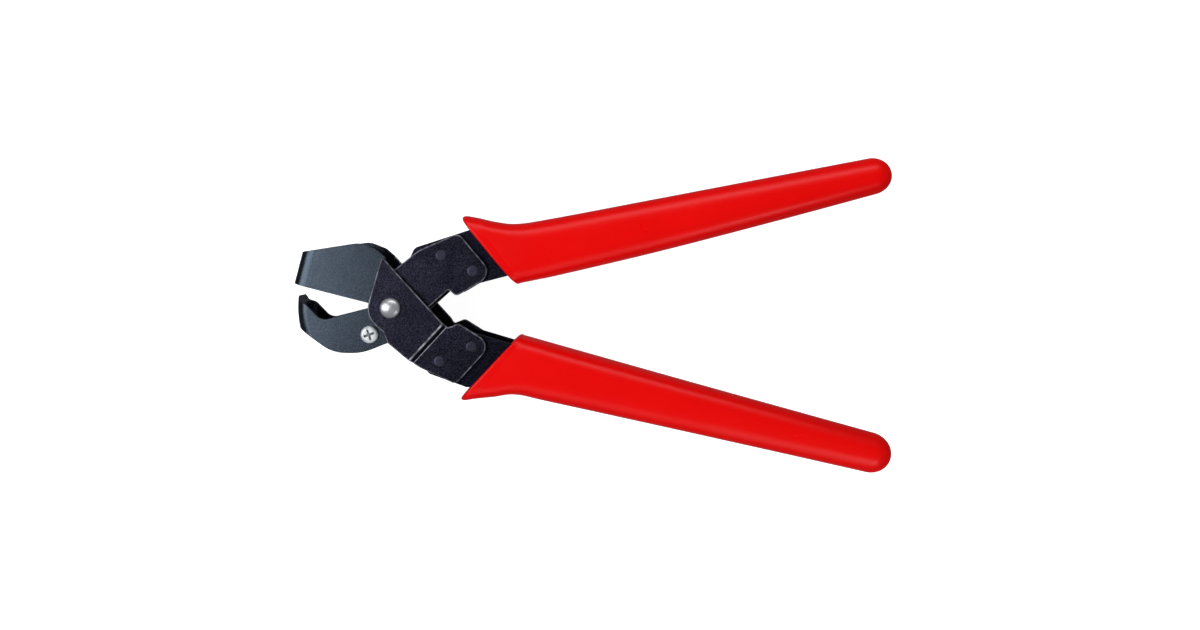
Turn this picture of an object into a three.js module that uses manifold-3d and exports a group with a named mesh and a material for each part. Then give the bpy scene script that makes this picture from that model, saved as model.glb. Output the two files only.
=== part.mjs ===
// Hand notching pliers for sheet and thin profiles, standing open.
// X runs along the tool towards the handles, Y lies in the plane that the levers swing in, and Z runs
// through the tool along the pivot, from the pivot's flat end at Z = 0 to its dome. Millimetres.
import * as THREE from "three";
import { mergeVertices } from "three/addons/utils/BufferGeometryUtils.js";
import Module from "manifold-3d";

const wasm = await Module();
wasm.setup();

// ---------------------------------------------------------------- driving dimensions

const GAP = 0.3; // left between pieces that touch
const SHEET = 2; // every pressed plate
const NOTCH_WIDTH = 20; // across the lower jaw, and so across the notch

// Half-depths of the layers, counted from the tool's middle plane.
const PUNCH_OUT = NOTCH_WIDTH / 2;
const PUNCH_IN = PUNCH_OUT - SHEET;
const INNER_IN = PUNCH_OUT + GAP; // inner cheeks, and the upper jaw's walls
const INNER_OUT = INNER_IN + SHEET;
const OUTER_IN = INNER_OUT + GAP; // outer cheeks
const OUTER_OUT = OUTER_IN + SHEET;
const HEAD_IN = OUTER_OUT + GAP;
const HEAD_HEIGHT = 2.2;
const MIDDLE_Z = HEAD_IN + HEAD_HEIGHT;

// Pivot and jaw screw.
const PIVOT_RADIUS = 3;
const PIVOT_HEAD_RADIUS = 4.2;
const PIVOT_FLAT_RADIUS = 3.1;
const SLEEVE_RADIUS = 5;
const SCREW_AT = [-9.1, -11.4];
const SCREW_RADIUS = 1.9;
const SCREW_HEAD_RADIUS = 3.6;
const SCREW_HEAD_HEIGHT = 2;
const SCREW_PAST_NUT = 0.6;
const SCREW_SLEEVE_RADIUS = 3;
const CROSS_SLOT = { length: 4, width: 0.8, depth: 0.7, turn: 20 }; // turn in degrees
const NUT_RADIUS = 3.9;
const NUT_HEIGHT = 2.4;
const HEAD_TOP = 0.7; // flat top of a head, as a share of its radius

// Jaws.
const PUNCH_RADIUS = 40.3; // from the pivot to the punch's curved front
const PUNCH_CORNER = 4;
const DIE_ANGLE = THREE.MathUtils.degToRad(166.5); // the way that the die's flat front faces
const DIE_INNER = PUNCH_RADIUS + GAP;
const DIE_CORNER = 5;

// Rivets of the arms.
const RIVETS = { fore: [20.4, 22], aft: [33.6, 15.7] };
const RIVET_RADIUS = 1.9;
const RIVET_HEAD_RADIUS = 2.35;
const RIVET_HEAD_HEIGHT = 0.5;

// Joggle that brings the outer cheeks in to the lower arm: a band square to this direction.
const JOGGLE_ANGLE = THREE.MathUtils.degToRad(-41.6);
const JOGGLE_START = 20;
const JOGGLE_END = 22.5;
const JOGGLE_LEAD = 0.8; // the inner bend lies this much nearer to the pivot

// Handles.
const ARM_TANG_END = 50; // the arm's depth tapers from here
const ARM_END = 165;
const ARM_END_DEPTH = 6.9;
const GRIP_START = [53, 23.7];
const GRIP_STOP = [202, 58.8];
const GRIP_FRONT = { height: 11.9, depth: 12 }; // half sizes
const GRIP_BACK = { height: 8, depth: 8 };
const GRIP_ROUNDING = 0.62; // corner radius as a share of the half size
const GRIP_CAP_TURN = THREE.MathUtils.degToRad(84); // the round end stops here, at a small flat
const GUARD_DEPTH = 11; // half size
const COLLAR_FROM = [31.4, 34.8];
const COLLAR_TO = [52.6, 10.8];

// Return spring.
const SPRING_RADIUS = 6.3;
const WIRE_RADIUS = 0.9;
const SPRING_PITCH = 2.2;
const SPRING_TURNS = 4;
const SPRING_ARM_TIP = [14.5, -23.6];
const SPRING_SCREW_TIP = [-15, -7.7];

// ---------------------------------------------------------------- outlines, as [x, y, corner radius]

// The end of a cheek plate that is riveted to an arm, drawn for the upper lever. Its last bulge is the
// stop: the two levers' bulges meet when the tool is squeezed shut.
const UPPER_STOP = [26.8, 5.1, 2];
const LOWER_STOP = [28, 6, 2.4];

function tang(stop) {
  return [[11, 24.1, 18], [27.3, 31.4, 3], [42.1, 14.5, 5], stop, [23.5, 7.9, 0.8]];
}

const OUTER_CHEEK = [
  [-3.9, 21.2, 0.8],
  [-10.6, -3.6, 9.2],
  [-2.7, -9.9, 3],
  [-0.9, -14.5, 1],
  ...mirrored(tang(LOWER_STOP)),
];
const INNER_CHEEK = [[-0.8, 14.2, 2], ...tang(UPPER_STOP), [12.8, -2.2, 3], [2, -6.5, 0], [-6.5, 4, 0]];
const EYE_RADIUS = 8;
const DIE_SIDE = [
  [-38.4, 22.4, 1.2],
  [-14, 26.6, 8],
  [-6.8, 23.9, 6],
  [-2.9, 20.6, 0.5],
  [-8.4, 1.5, 0.5],
  [-41.6, 9.3, 0.8],
];
const PUNCH_SIDE = [
  [-45, 5, 0],
  [-40.5, 5, 0.4],
  [-39.2, 1.6, 1.2],
  [-36.3, 0.5, 3],
  [-29.6, -6.2, 5],
  [-7, 0, 0],
  [4, -6, 0],
  [3.5, -12.8, 3],
  [-12.2, -19.4, 22],
  [-24.5, -19.4, 16],
  [-45, -5.2, 0],
];
const GUARD = [
  [29.8, 38.4, 0.8],
  [50.5, 35, 12],
  [62, 37.3, 0],
  [62, 30, 0],
  [35.8, 29.9, 0],
  [29.9, 36.5, 0.5],
];

// Front end of each arm's tang. The lower one stops short of the joggle.
const UPPER_TANG_FRONT = [
  [9, 14, 2],
  [6.9, 20.4, 2],
  [8.9, 24.95, 3],
];
const LOWER_TANG_FRONT = [
  [19, 12.5, 2],
  [13.4, 22.5, 2],
  [15.4, 27.2, 3],
];

// Outline of an arm, drawn for the upper lever, with its sides moved out by the same amount.
function armOutline(grow, front) {
  return [
    ...front,
    [31.5, 32.75 + grow, 0],
    [50, 32.75 + grow, 8],
    [ARM_END + grow, 56.4 + grow, 1],
    [ARM_END + grow, 43.7 - grow, 1],
    [56, 15.5 - grow, 0],
    [50, 14.5 - grow, 0],
    [26.5, 8 - grow, 2],
  ];
}

// Inside of the arm's channel: a sheet's thickness under the web, less a shrink, and open everywhere else.
function hollowOutline(shrink) {
  return [
    [-5, 18 - shrink, 0],
    [31.5, 30.6 - shrink, 0],
    [50, 30.7 - shrink, 8],
    [ARM_END + 5, 55.4 - shrink, 0],
    [ARM_END + 5, 0, 0],
    [-5, -20, 0],
  ];
}

function mirrored(corners) {
  return corners.map(([x, y, radius]) => [x, -y, radius]);
}

// ---------------------------------------------------------------- shapes

// A closed shape through corners, each rounded by an arc of its own radius.
function roundedShape(corners) {
  const shape = new THREE.Shape();
  corners.forEach(([x, y, radius], i) => {
    const corner = new THREE.Vector2(x, y);
    const [beforeX, beforeY] = corners[(i + corners.length - 1) % corners.length];
    const [afterX, afterY] = corners[(i + 1) % corners.length];
    const back = new THREE.Vector2(beforeX, beforeY).sub(corner).normalize();
    const on = new THREE.Vector2(afterX, afterY).sub(corner).normalize();
    const move = i === 0 ? "moveTo" : "lineTo";
    if (radius === 0) {
      shape[move](x, y);
      return;
    }
    const half = Math.acos(THREE.MathUtils.clamp(back.dot(on), -1, 1)) / 2;
    const start = corner.clone().addScaledVector(back, radius / Math.tan(half));
    const stop = corner.clone().addScaledVector(on, radius / Math.tan(half));
    const middle = back.clone().add(on).normalize().multiplyScalar(radius / Math.sin(half)).add(corner);
    const from = Math.atan2(start.y - middle.y, start.x - middle.x);
    const to = Math.atan2(stop.y - middle.y, stop.x - middle.x);
    shape[move](start.x, start.y);
    shape.absarc(middle.x, middle.y, radius, from, to, back.cross(on) > 0);
  });
  return shape;
}

// Turns a geometry into a solid that can be cut and joined.
function solid(geometry) {
  const bare = geometry.clone();
  bare.deleteAttribute("normal");
  bare.deleteAttribute("uv");
  const merged = mergeVertices(bare, 1e-4);
  return new wasm.Manifold(
    new wasm.Mesh({
      numProp: 3,
      vertProperties: merged.attributes.position.array,
      triVerts: new Uint32Array(merged.index.array),
    }),
  );
}

function geometryOf(made) {
  const { vertProperties, triVerts } = made.getMesh();
  const geometry = new THREE.BufferGeometry();
  geometry.setAttribute("position", new THREE.BufferAttribute(vertProperties, 3));
  geometry.setIndex(new THREE.BufferAttribute(triVerts, 1));
  geometry.computeVertexNormals();
  return geometry;
}

// A prism along Z between two half-depths.
function plate(corners, from, to, curveSegments = 5) {
  const shape = roundedShape(corners);
  const geometry = new THREE.ExtrudeGeometry(shape, {
    depth: to - from,
    bevelEnabled: false,
    curveSegments,
  });
  return solid(geometry.translate(0, 0, from));
}

// A round bar along Z with its radius given at each half-depth.
function turned(profile, at = [0, 0], segments = 24) {
  const points = profile.map(([radius, z]) => new THREE.Vector2(radius, z));
  const geometry = new THREE.LatheGeometry(points, segments);
  return solid(geometry.rotateX(Math.PI / 2).translate(at[0], at[1], 0));
}

function rod(radius, from, to, at = [0, 0], segments = 24) {
  const profile = [
    [0, from],
    [radius, from],
    [radius, to],
    [0, to],
  ];
  return turned(profile, at, segments);
}

// A prism whose section is drawn across one direction of the XY plane and Z, and that runs square to both.
function slabAcross(corners, angle, reach) {
  const geometry = new THREE.ExtrudeGeometry(roundedShape(corners), {
    depth: 2 * reach,
    bevelEnabled: false,
    curveSegments: 6,
  });
  const along = new THREE.Vector3(Math.cos(angle), Math.sin(angle), 0);
  const up = new THREE.Vector3(0, 0, 1);
  const across = new THREE.Vector3().crossVectors(along, up);
  const basis = new THREE.Matrix4().makeBasis(along, up, across);
  return solid(geometry.translate(0, 0, -reach).applyMatrix4(basis));
}

function bothSides(front) {
  return { front, rear: front.mirror([0, 0, 1]) };
}

// ---------------------------------------------------------------- cheeks

function joggleBand() {
  const far = 70;
  const section = [
    [-far, OUTER_IN, 0],
    [JOGGLE_START - JOGGLE_LEAD, OUTER_IN, 0],
    [JOGGLE_END - JOGGLE_LEAD, INNER_IN, 0],
    [far, INNER_IN, 0],
    [far, INNER_OUT, 0],
    [JOGGLE_END, INNER_OUT, 0],
    [JOGGLE_START, OUTER_OUT, 0],
    [-far, OUTER_OUT, 0],
  ];
  return slabAcross(section, JOGGLE_ANGLE, far);
}

function rivetHoles(side) {
  const holes = Object.values(RIVETS).map(([x, y]) =>
    rod(RIVET_RADIUS + GAP, -OUTER_OUT, OUTER_OUT, [x, side * y], 20),
  );
  return holes[0].add(holes[1]);
}

function pivotHole() {
  return rod(PIVOT_RADIUS + GAP, -HEAD_IN, HEAD_IN);
}

function screwHole() {
  return rod(SCREW_RADIUS + GAP, -HEAD_IN, HEAD_IN, SCREW_AT, 20);
}

function outerCheeks() {
  const blank = plate(OUTER_CHEEK, INNER_IN - 1, OUTER_OUT + 1);
  return bothSides(blank.intersect(joggleBand()).subtract(pivotHole()).subtract(rivetHoles(-1)));
}

function innerCheeks() {
  const blank = plate(INNER_CHEEK, INNER_IN, INNER_OUT).add(rod(EYE_RADIUS, INNER_IN, INNER_OUT));
  return bothSides(blank.subtract(pivotHole()).subtract(rivetHoles(1)));
}

// ---------------------------------------------------------------- jaws

// The die: a U of sheet with a flat front, cut to its side outline.
function upperJaw() {
  const outer = [
    [-10, -INNER_OUT, 0],
    [DIE_INNER + SHEET, -INNER_OUT, DIE_CORNER],
    [DIE_INNER + SHEET, INNER_OUT, DIE_CORNER],
    [-10, INNER_OUT, 0],
  ];
  const inner = [
    [-20, -INNER_IN, 0],
    [DIE_INNER, -INNER_IN, DIE_CORNER - SHEET],
    [DIE_INNER, INNER_IN, DIE_CORNER - SHEET],
    [-20, INNER_IN, 0],
  ];
  const bend = slabAcross(outer, DIE_ANGLE, 50).subtract(slabAcross(inner, DIE_ANGLE, 60));
  return bend.intersect(plate(DIE_SIDE, -OUTER_OUT, OUTER_OUT, 8));
}

// Half section of a drum round the pivot, with its rim's corners rounded.
function drum(radius, halfDepth, corner, segments) {
  const profile = [[0, -halfDepth]];
  const steps = 4;
  for (const side of [-1, 1]) {
    for (let i = 0; i <= steps; i += 1) {
      const turn = ((side < 0 ? i : steps - i) / steps) * (Math.PI / 2);
      const across = radius - corner + corner * Math.sin(turn);
      const deep = halfDepth - corner + corner * Math.cos(turn);
      profile.push([across, side * deep]);
    }
  }
  profile.push([0, halfDepth]);
  return turned(profile, [0, 0], segments);
}

// The punch: a U of sheet whose front is curved round the pivot, cut to its side outline.
function lowerJaw() {
  const outer = drum(PUNCH_RADIUS, PUNCH_OUT, PUNCH_CORNER, 72);
  const inner = drum(PUNCH_RADIUS - SHEET, PUNCH_IN, PUNCH_CORNER - SHEET, 72);
  const side = plate(PUNCH_SIDE, -OUTER_OUT, OUTER_OUT, 8).add(rod(EYE_RADIUS, -OUTER_OUT, OUTER_OUT));
  return outer.subtract(inner).intersect(side).subtract(pivotHole()).subtract(screwHole());
}

// ---------------------------------------------------------------- arms and grips

// The arm's depth, seen from the side of the handle: full at the tang, tapering inside the grip.
function armWedge(grow) {
  const far = ARM_END + 20;
  const taper = (ARM_END_DEPTH - PUNCH_OUT) / (ARM_END - ARM_TANG_END);
  const start = PUNCH_OUT + grow;
  const end = start + taper * (far - ARM_TANG_END);
  const corners = [
    [-30, -start, 0],
    [ARM_TANG_END, -start, 0],
    [far, -end, 0],
    [far, end, 0],
    [ARM_TANG_END, start, 0],
    [-30, start, 0],
  ];
  return slabAcross(corners, 0, 90);
}

// A channel of sheet, its web on the outside of the handle and its open side facing the other arm.
// Grown, it is the room that the channel takes in the grip.
function channel(grow, front) {
  const outside = plate(armOutline(grow, front), -OUTER_OUT, OUTER_OUT).intersect(armWedge(grow));
  const inside = plate(hollowOutline(grow), -OUTER_OUT, OUTER_OUT).intersect(armWedge(-SHEET - grow));
  return outside.subtract(inside);
}

function arm(front) {
  return channel(0, front).subtract(rivetHoles(1));
}

// Size of the grip's section at a share of its length, with the end closed by a round cap.
function gripScale(share, length) {
  const height = THREE.MathUtils.lerp(GRIP_FRONT.height, GRIP_BACK.height, share);
  const depth = THREE.MathUtils.lerp(GRIP_FRONT.depth, GRIP_BACK.depth, share);
  const past = Math.max(0, (share - 1) * length) / GRIP_BACK.height;
  const cap = Math.sqrt(Math.max(0, 1 - past * past));
  return [height * cap, depth * cap];
}

function gripBody() {
  const [startX, startY] = GRIP_START;
  const axis = new THREE.Vector2(GRIP_STOP[0] - startX, GRIP_STOP[1] - startY);
  const length = axis.length();
  const lead = 30; // the body starts ahead of the collar and is cut back to it
  const section = roundedShape([
    [-1, -1, GRIP_ROUNDING],
    [1, -1, GRIP_ROUNDING],
    [1, 1, GRIP_ROUNDING],
    [-1, 1, GRIP_ROUNDING],
  ]);
  const capSteps = 5;
  const steps = capSteps + 1;
  const geometry = new THREE.ExtrudeGeometry(section, {
    depth: steps,
    steps,
    bevelEnabled: false,
    curveSegments: 5,
  });
  const place = geometry.attributes.position;
  for (let i = 0; i < place.count; i += 1) {
    const step = Math.round(place.getZ(i));
    const capShare = Math.max(0, step - 1) / capSteps;
    const past = GRIP_BACK.height * Math.sin(capShare * GRIP_CAP_TURN);
    const along = step === 0 ? -lead : length + past;
    const [height, depth] = gripScale(along / length, length);
    place.setXYZ(i, along, place.getX(i) * height, place.getY(i) * depth);
  }
  return solid(geometry.rotateZ(axis.angle()).translate(startX, startY, 0));
}

// Everything behind the collar's slanted front.
function behindCollar() {
  const [fromX, fromY] = COLLAR_FROM;
  const [toX, toY] = COLLAR_TO;
  const slopeX = toX - fromX;
  const slopeY = toY - fromY;
  const corners = [
    [fromX - slopeX, fromY - slopeY, 0],
    [toX + slopeX, toY + slopeY, 0],
    [260, -40, 0],
    [260, 120, 0],
  ];
  return plate(corners, -30, 30);
}

// Moulded plastic that fills the arm's channel behind the collar.
function grip() {
  const body = gripBody().intersect(behindCollar());
  return body.add(plate(GUARD, -GUARD_DEPTH, GUARD_DEPTH)).subtract(channel(GAP, UPPER_TANG_FRONT));
}

// ---------------------------------------------------------------- turned pieces and the spring

function pivotRivet() {
  const dome = [];
  const steps = 6;
  for (let i = 0; i < steps; i += 1) {
    const turn = (i / steps) * (Math.PI / 2);
    dome.push([PIVOT_HEAD_RADIUS * Math.cos(turn), HEAD_IN + HEAD_HEIGHT * Math.sin(turn)]);
  }
  return turned([
    [0, -MIDDLE_Z],
    [PIVOT_FLAT_RADIUS, -MIDDLE_Z],
    [PIVOT_HEAD_RADIUS, -HEAD_IN - HEAD_HEIGHT / 2],
    [PIVOT_HEAD_RADIUS, -HEAD_IN],
    [PIVOT_RADIUS, -HEAD_IN],
    [PIVOT_RADIUS, HEAD_IN],
    ...dome,
    [0, MIDDLE_Z],
  ]);
}

function tube(outer, inner, at) {
  const half = PUNCH_IN - GAP;
  return rod(outer, -half, half, at).subtract(rod(inner, -half - 1, half + 1, at));
}

function rivet([x, y], side) {
  const under = INNER_OUT + GAP;
  const top = under + RIVET_HEAD_HEIGHT;
  const profile = [
    [0, -top],
    [RIVET_HEAD_RADIUS * HEAD_TOP, -top],
    [RIVET_HEAD_RADIUS, -under],
    [RIVET_RADIUS, -under],
    [RIVET_RADIUS, under],
    [RIVET_HEAD_RADIUS, under],
    [RIVET_HEAD_RADIUS * HEAD_TOP, top],
    [0, top],
  ];
  return turned(profile, [x, side * y], 20);
}

function jawScrew() {
  const under = PUNCH_OUT + GAP;
  const top = under + SCREW_HEAD_HEIGHT;
  const end = under + NUT_HEIGHT + SCREW_PAST_NUT;
  const body = turned(
    [
      [0, -end],
      [SCREW_RADIUS, -end],
      [SCREW_RADIUS, under],
      [SCREW_HEAD_RADIUS, under],
      [SCREW_HEAD_RADIUS, under + SCREW_HEAD_HEIGHT / 2],
      [SCREW_HEAD_RADIUS * HEAD_TOP, top],
      [0, top],
    ],
    SCREW_AT,
    24,
  );
  const slot = new THREE.BoxGeometry(CROSS_SLOT.length, CROSS_SLOT.width, 2 * CROSS_SLOT.depth);
  const cross = solid(slot).add(solid(slot).rotate([0, 0, 90]));
  return body.subtract(cross.rotate([0, 0, CROSS_SLOT.turn]).translate([...SCREW_AT, top]));
}

function jawNut() {
  const to = -PUNCH_OUT - GAP;
  const from = to - NUT_HEIGHT;
  const hole = rod(SCREW_RADIUS + GAP, from - 1, to + 1, SCREW_AT, 20);
  return rod(NUT_RADIUS, from, to, SCREW_AT, 6).subtract(hole);
}

// Angle of the point where a straight leg from a tip meets the coil, wound clockwise towards +Z.
function tangentAngle([x, y], arriving) {
  const reach = Math.hypot(x, y);
  const offset = Math.acos(SPRING_RADIUS / reach);
  return Math.atan2(y, x) + (arriving ? -offset : offset);
}

function returnSpring() {
  const start = tangentAngle(SPRING_ARM_TIP, true);
  const stop = tangentAngle(SPRING_SCREW_TIP, false);
  const part = THREE.MathUtils.euclideanModulo(start - stop, 2 * Math.PI);
  const sweep = SPRING_TURNS * 2 * Math.PI + part;
  const rise = (sweep / (2 * Math.PI)) * SPRING_PITCH;
  const perTurn = 18;
  const steps = Math.round((sweep / (2 * Math.PI)) * perTurn);
  const points = [new THREE.Vector3(...SPRING_ARM_TIP, -rise / 2)];
  for (let i = 0; i <= steps; i += 1) {
    const turn = start - (i / steps) * sweep;
    const z = -rise / 2 + (i / steps) * rise;
    points.push(new THREE.Vector3(SPRING_RADIUS * Math.cos(turn), SPRING_RADIUS * Math.sin(turn), z));
  }
  points.push(new THREE.Vector3(...SPRING_SCREW_TIP, rise / 2));
  const path = new THREE.CurvePath();
  for (let i = 1; i < points.length; i += 1) {
    path.add(new THREE.LineCurve3(points[i - 1], points[i]));
  }
  const wire = new THREE.Shape().absarc(0, 0, WIRE_RADIUS, 0, 2 * Math.PI);
  return solid(
    new THREE.ExtrudeGeometry(wire, {
      steps: Math.round(1.2 * steps),
      curveSegments: 4,
      bevelEnabled: false,
      extrudePath: path,
    }),
  );
}

// ---------------------------------------------------------------- finishes and assembly

const FINISHES = {
  jaw: { color: 0x323a42, roughness: 0.45, metalness: 0.8 },
  cheek: { color: 0x1e202a, roughness: 0.5, metalness: 0.7 },
  bright: { color: 0xc8ccd2, roughness: 0.25, metalness: 1 },
  spring: { color: 0x8a8d92, roughness: 0.35, metalness: 1 },
  grip: { color: 0xe50000, roughness: 0.3, metalness: 0 },
};

const tool = new THREE.Group();
tool.position.z = MIDDLE_Z;

function addPiece(name, made, finish) {
  const mesh = new THREE.Mesh(geometryOf(made), new THREE.MeshStandardMaterial(FINISHES[finish]));
  mesh.name = name;
  tool.add(mesh);
}

const outerPair = outerCheeks();
const innerPair = innerCheeks();
addPiece("lower_cheek_front", outerPair.front, "cheek");
addPiece("lower_cheek_rear", outerPair.rear, "cheek");
addPiece("upper_cheek_front", innerPair.front, "cheek");
addPiece("upper_cheek_rear", innerPair.rear, "cheek");
addPiece("upper_jaw", upperJaw(), "jaw");
addPiece("lower_jaw", lowerJaw(), "jaw");

const upperGrip = grip();
addPiece("upper_arm", arm(UPPER_TANG_FRONT), "cheek");
addPiece("lower_arm", arm(LOWER_TANG_FRONT).mirror([0, 1, 0]), "cheek");
addPiece("upper_grip", upperGrip, "grip");
addPiece("lower_grip", upperGrip.mirror([0, 1, 0]), "grip");

for (const [place, at] of Object.entries(RIVETS)) {
  addPiece(`upper_rivet_${place}`, rivet(at, 1), "cheek");
  addPiece(`lower_rivet_${place}`, rivet(at, -1), "cheek");
}

addPiece("pivot_rivet", pivotRivet(), "bright");
addPiece("pivot_sleeve", tube(SLEEVE_RADIUS, PIVOT_RADIUS + GAP, [0, 0]), "bright");
addPiece("return_spring", returnSpring(), "spring");
addPiece("jaw_screw", jawScrew(), "bright");
addPiece("jaw_nut", jawNut(), "bright");
addPiece("screw_sleeve", tube(SCREW_SLEEVE_RADIUS, SCREW_RADIUS + GAP, SCREW_AT), "bright");

export default tool;
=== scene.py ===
"""Looks of a pair of hand notching pliers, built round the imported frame.

Shapes are drawn in millimetres about the tool's middle plane, X towards the handles, Y in the plane
that the levers swing in and Z along the pivot. to_frame() brings them into the frame, in metres.
"""

import math

import bmesh
import bpy
from mathutils import Matrix, Vector


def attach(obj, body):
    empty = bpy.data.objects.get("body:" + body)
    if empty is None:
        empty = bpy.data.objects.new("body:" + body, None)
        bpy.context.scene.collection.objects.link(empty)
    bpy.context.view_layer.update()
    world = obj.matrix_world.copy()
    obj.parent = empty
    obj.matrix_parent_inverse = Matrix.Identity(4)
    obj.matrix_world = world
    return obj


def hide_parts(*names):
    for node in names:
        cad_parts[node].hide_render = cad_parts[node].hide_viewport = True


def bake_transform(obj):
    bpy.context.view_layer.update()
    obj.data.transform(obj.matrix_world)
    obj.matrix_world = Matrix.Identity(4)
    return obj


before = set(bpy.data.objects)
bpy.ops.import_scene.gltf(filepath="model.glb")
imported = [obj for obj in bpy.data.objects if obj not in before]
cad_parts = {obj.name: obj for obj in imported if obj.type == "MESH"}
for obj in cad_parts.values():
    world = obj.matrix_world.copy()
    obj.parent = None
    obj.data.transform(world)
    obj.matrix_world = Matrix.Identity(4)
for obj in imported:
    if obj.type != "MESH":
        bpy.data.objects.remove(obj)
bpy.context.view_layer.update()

# ------------------------------------------------------------------ driving dimensions, millimetres

MM = 0.001
GAP = 0.3
SHEET = 2.0
PUNCH_OUT = 10.0
PUNCH_IN = PUNCH_OUT - SHEET
INNER_IN = PUNCH_OUT + GAP
INNER_OUT = INNER_IN + SHEET
OUTER_IN = INNER_OUT + GAP
OUTER_OUT = OUTER_IN + SHEET
HEAD_IN = OUTER_OUT + GAP
HEAD_HEIGHT = 2.2
MIDDLE_Z = HEAD_IN + HEAD_HEIGHT

PIVOT_RADIUS = 3.0
PIVOT_HEAD_RADIUS = 4.2
PIVOT_FLAT_RADIUS = 3.1
SLEEVE_RADIUS = 5.0
SCREW_AT = (-9.1, -11.4)
SCREW_RADIUS = 1.9
SCREW_HEAD_RADIUS = 3.6
SCREW_HEAD_HEIGHT = 2.0
SCREW_PAST_NUT = 0.6
SCREW_SLEEVE_RADIUS = 3.0
CROSS_HALF = (2.3, 0.5)  # half the length and width of each bar of the cross recess
CROSS_CORNER = 0.12
CROSS_DEPTH = 1.1
CROSS_TURNS = (20, 110)  # degrees
THREAD_PITCH = 0.7
THREAD_DEPTH = 0.28
THREAD_TURNS = 4
NUT_RADIUS = 3.9
NUT_HEIGHT = 2.4
RIVETS = ((20.4, 22.0), (33.6, 15.7))
RIVET_RADIUS = 1.9
RIVET_HEAD_RADIUS = 2.35
RIVET_HEAD_HEIGHT = 0.3
RIVET_SINK = 0.05  # how far the heads start below the plates' faces

PUNCH_RADIUS = 40.3
PUNCH_CORNER = 4.8
DIE_ANGLE = math.radians(166.5)
DIE_INNER = PUNCH_RADIUS + GAP
DIE_CORNER = 6.0
EYE_RADIUS = 8.0

JOGGLE_ANGLE = math.radians(-41.6)
JOGGLE_START = 20.0
JOGGLE_END = 22.5
JOGGLE_LEAD = 0.8
JOGGLE_STEPS = 10
JOGGLE_BROW = 0.75  # widths of the painted highlights on the joggle's upper bend and foot
JOGGLE_FOOT = 0.35

ARM_END = 165.0
ARM_DEPTHS = ((-30, 10.0), (50, 10.0), (66, 7.6), (ARM_END + 20, 5.0))  # half depth along the arm
ARM_BEND = 2.6  # outer radius of the bends between the arm's web and its flanges

SPRING_RADIUS = 6.3
WIRE_RADIUS = 0.9
SPRING_PITCH = 2.2
SPRING_TURNS = 4
SPRING_STEPS = 40  # points on each turn
SPRING_ARM_TIP = (14.5, -23.6)
SPRING_SCREW_TIP = (-15.0, -7.7)

REACH = 70.0  # past every cheek, for shapes that only bound another
EDGE = 0.5  # worn bevel along the edges of the plates, lightened also as a painted edge highlight
ARC_STEP = math.radians(6)
BEND_STEP = math.radians(9)
ROUND_SIDES = 64
DRUM_SIDES = 180
MATERIAL_SLOTS = 3  # on a working mesh: faces, worn edges that also carry a painted highlight, painted highlights on bends
ON_EDGES = 1
ON_BEND_HIGHLIGHTS = 2

# ------------------------------------------------------------------ outlines, as (x, y, corner radius)

UPPER_STOP = (26.8, 5.1, 2)
LOWER_STOP = (28, 6, 2.4)


def mirrored(corners):
    return [(x, -y, radius) for x, y, radius in corners]


def tang(stop):
    return [(11, 24.1, 18), (27.3, 31.4, 3), (42.1, 14.5, 5), stop, (23.5, 7.9, 0.8)]


OUTER_CHEEK = [(-3.9, 21.2, 0.8), (-10.6, -3.6, 9.2), (-2.7, -9.9, 3), (-0.9, -14.5, 1)]
OUTER_CHEEK += mirrored(tang(LOWER_STOP))
INNER_CHEEK = [(-0.8, 14.2, 2)] + tang(UPPER_STOP) + [(12.8, -2.2, 3), (2, -6.5, 0), (-6.5, 4, 0)]
DIE_SIDE = [
    (-38.4, 22.4, 1.2),
    (-14, 26.6, 8),
    (-6.8, 23.9, 6),
    (-2.9, 20.6, 0.5),
    (-8.4, 1.5, 0.5),
    (-41.6, 9.3, 0.8),
]
PUNCH_SIDE = [
    (-45, 5, 0),
    (-40.5, 5, 0.4),
    (-39.2, 1.6, 1.2),
    (-36.3, 0.5, 3),
    (-29.6, -6.2, 5),
    (-7, 0, 0),
    (4, -6, 0),
    (3.5, -12.8, 3),
    (-12.2, -19.4, 22),
    (-24.5, -19.4, 16),
    (-45, -5.2, 0),
]
UPPER_TANG_FRONT = [(9, 14, 2), (6.9, 20.4, 2), (8.9, 24.95, 3)]
LOWER_TANG_FRONT = [(19, 12.5, 2), (13.4, 22.5, 2), (15.4, 27.2, 3)]


def arm_outline(grow, front):
    return front + [
        (31.5, 32.75 + grow, 0),
        (50, 32.75 + grow, 8),
        (66, 34.6 + grow, 0),
        (ARM_END + grow, 55 + grow, 1),
        (ARM_END + grow, 43.7 - grow, 1),
        (56, 15.5 - grow, 0),
        (50, 14.5 - grow, 0),
        (26.5, 8 - grow, 2),
    ]


def hollow_outline(shrink):
    return [
        (-5, 18 - shrink, 0),
        (31.5, 30.6 - shrink, 0),
        (50, 30.7 - shrink, 8),
        (66, 32.5 - shrink, 0),
        (ARM_END + 5, 54 - shrink, 0),
        (ARM_END + 5, 0, 0),
        (-5, -20, 0),
    ]


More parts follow.
